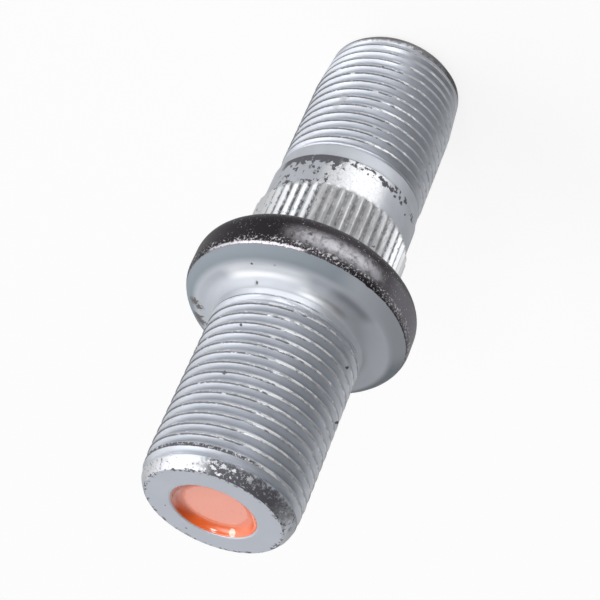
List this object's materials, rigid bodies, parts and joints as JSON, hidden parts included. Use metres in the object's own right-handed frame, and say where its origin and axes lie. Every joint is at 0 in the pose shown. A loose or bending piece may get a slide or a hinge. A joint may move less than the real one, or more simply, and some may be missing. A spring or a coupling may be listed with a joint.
{
  "type": "wheel stud",
  "caption": "Double-ended wheel stud with right-hand fine threads, a rounded collar and a serrated press-fit shank, for clamping a road wheel to its hub.",
  "frame": {"origin": "middle of the hub end face, the flat end that the stud stands on", "axes": "+Z along the stud's axis, from the hub end to the painted wheel end"},
  "size_m": [0.0298, 0.0298, 0.0725],
  "materials": {
    "coated_steel": "satin blue-grey zinc coating, worn bright on the crests and the tips of the serrations, dark oxide on the rim of the collar",
    "orange_paint": "glossy orange marking paint"
  },
  "bodies": {
    "root": {"stud": "coated_steel", "paint_mark": "orange_paint"}
  },
  "joints": []
}
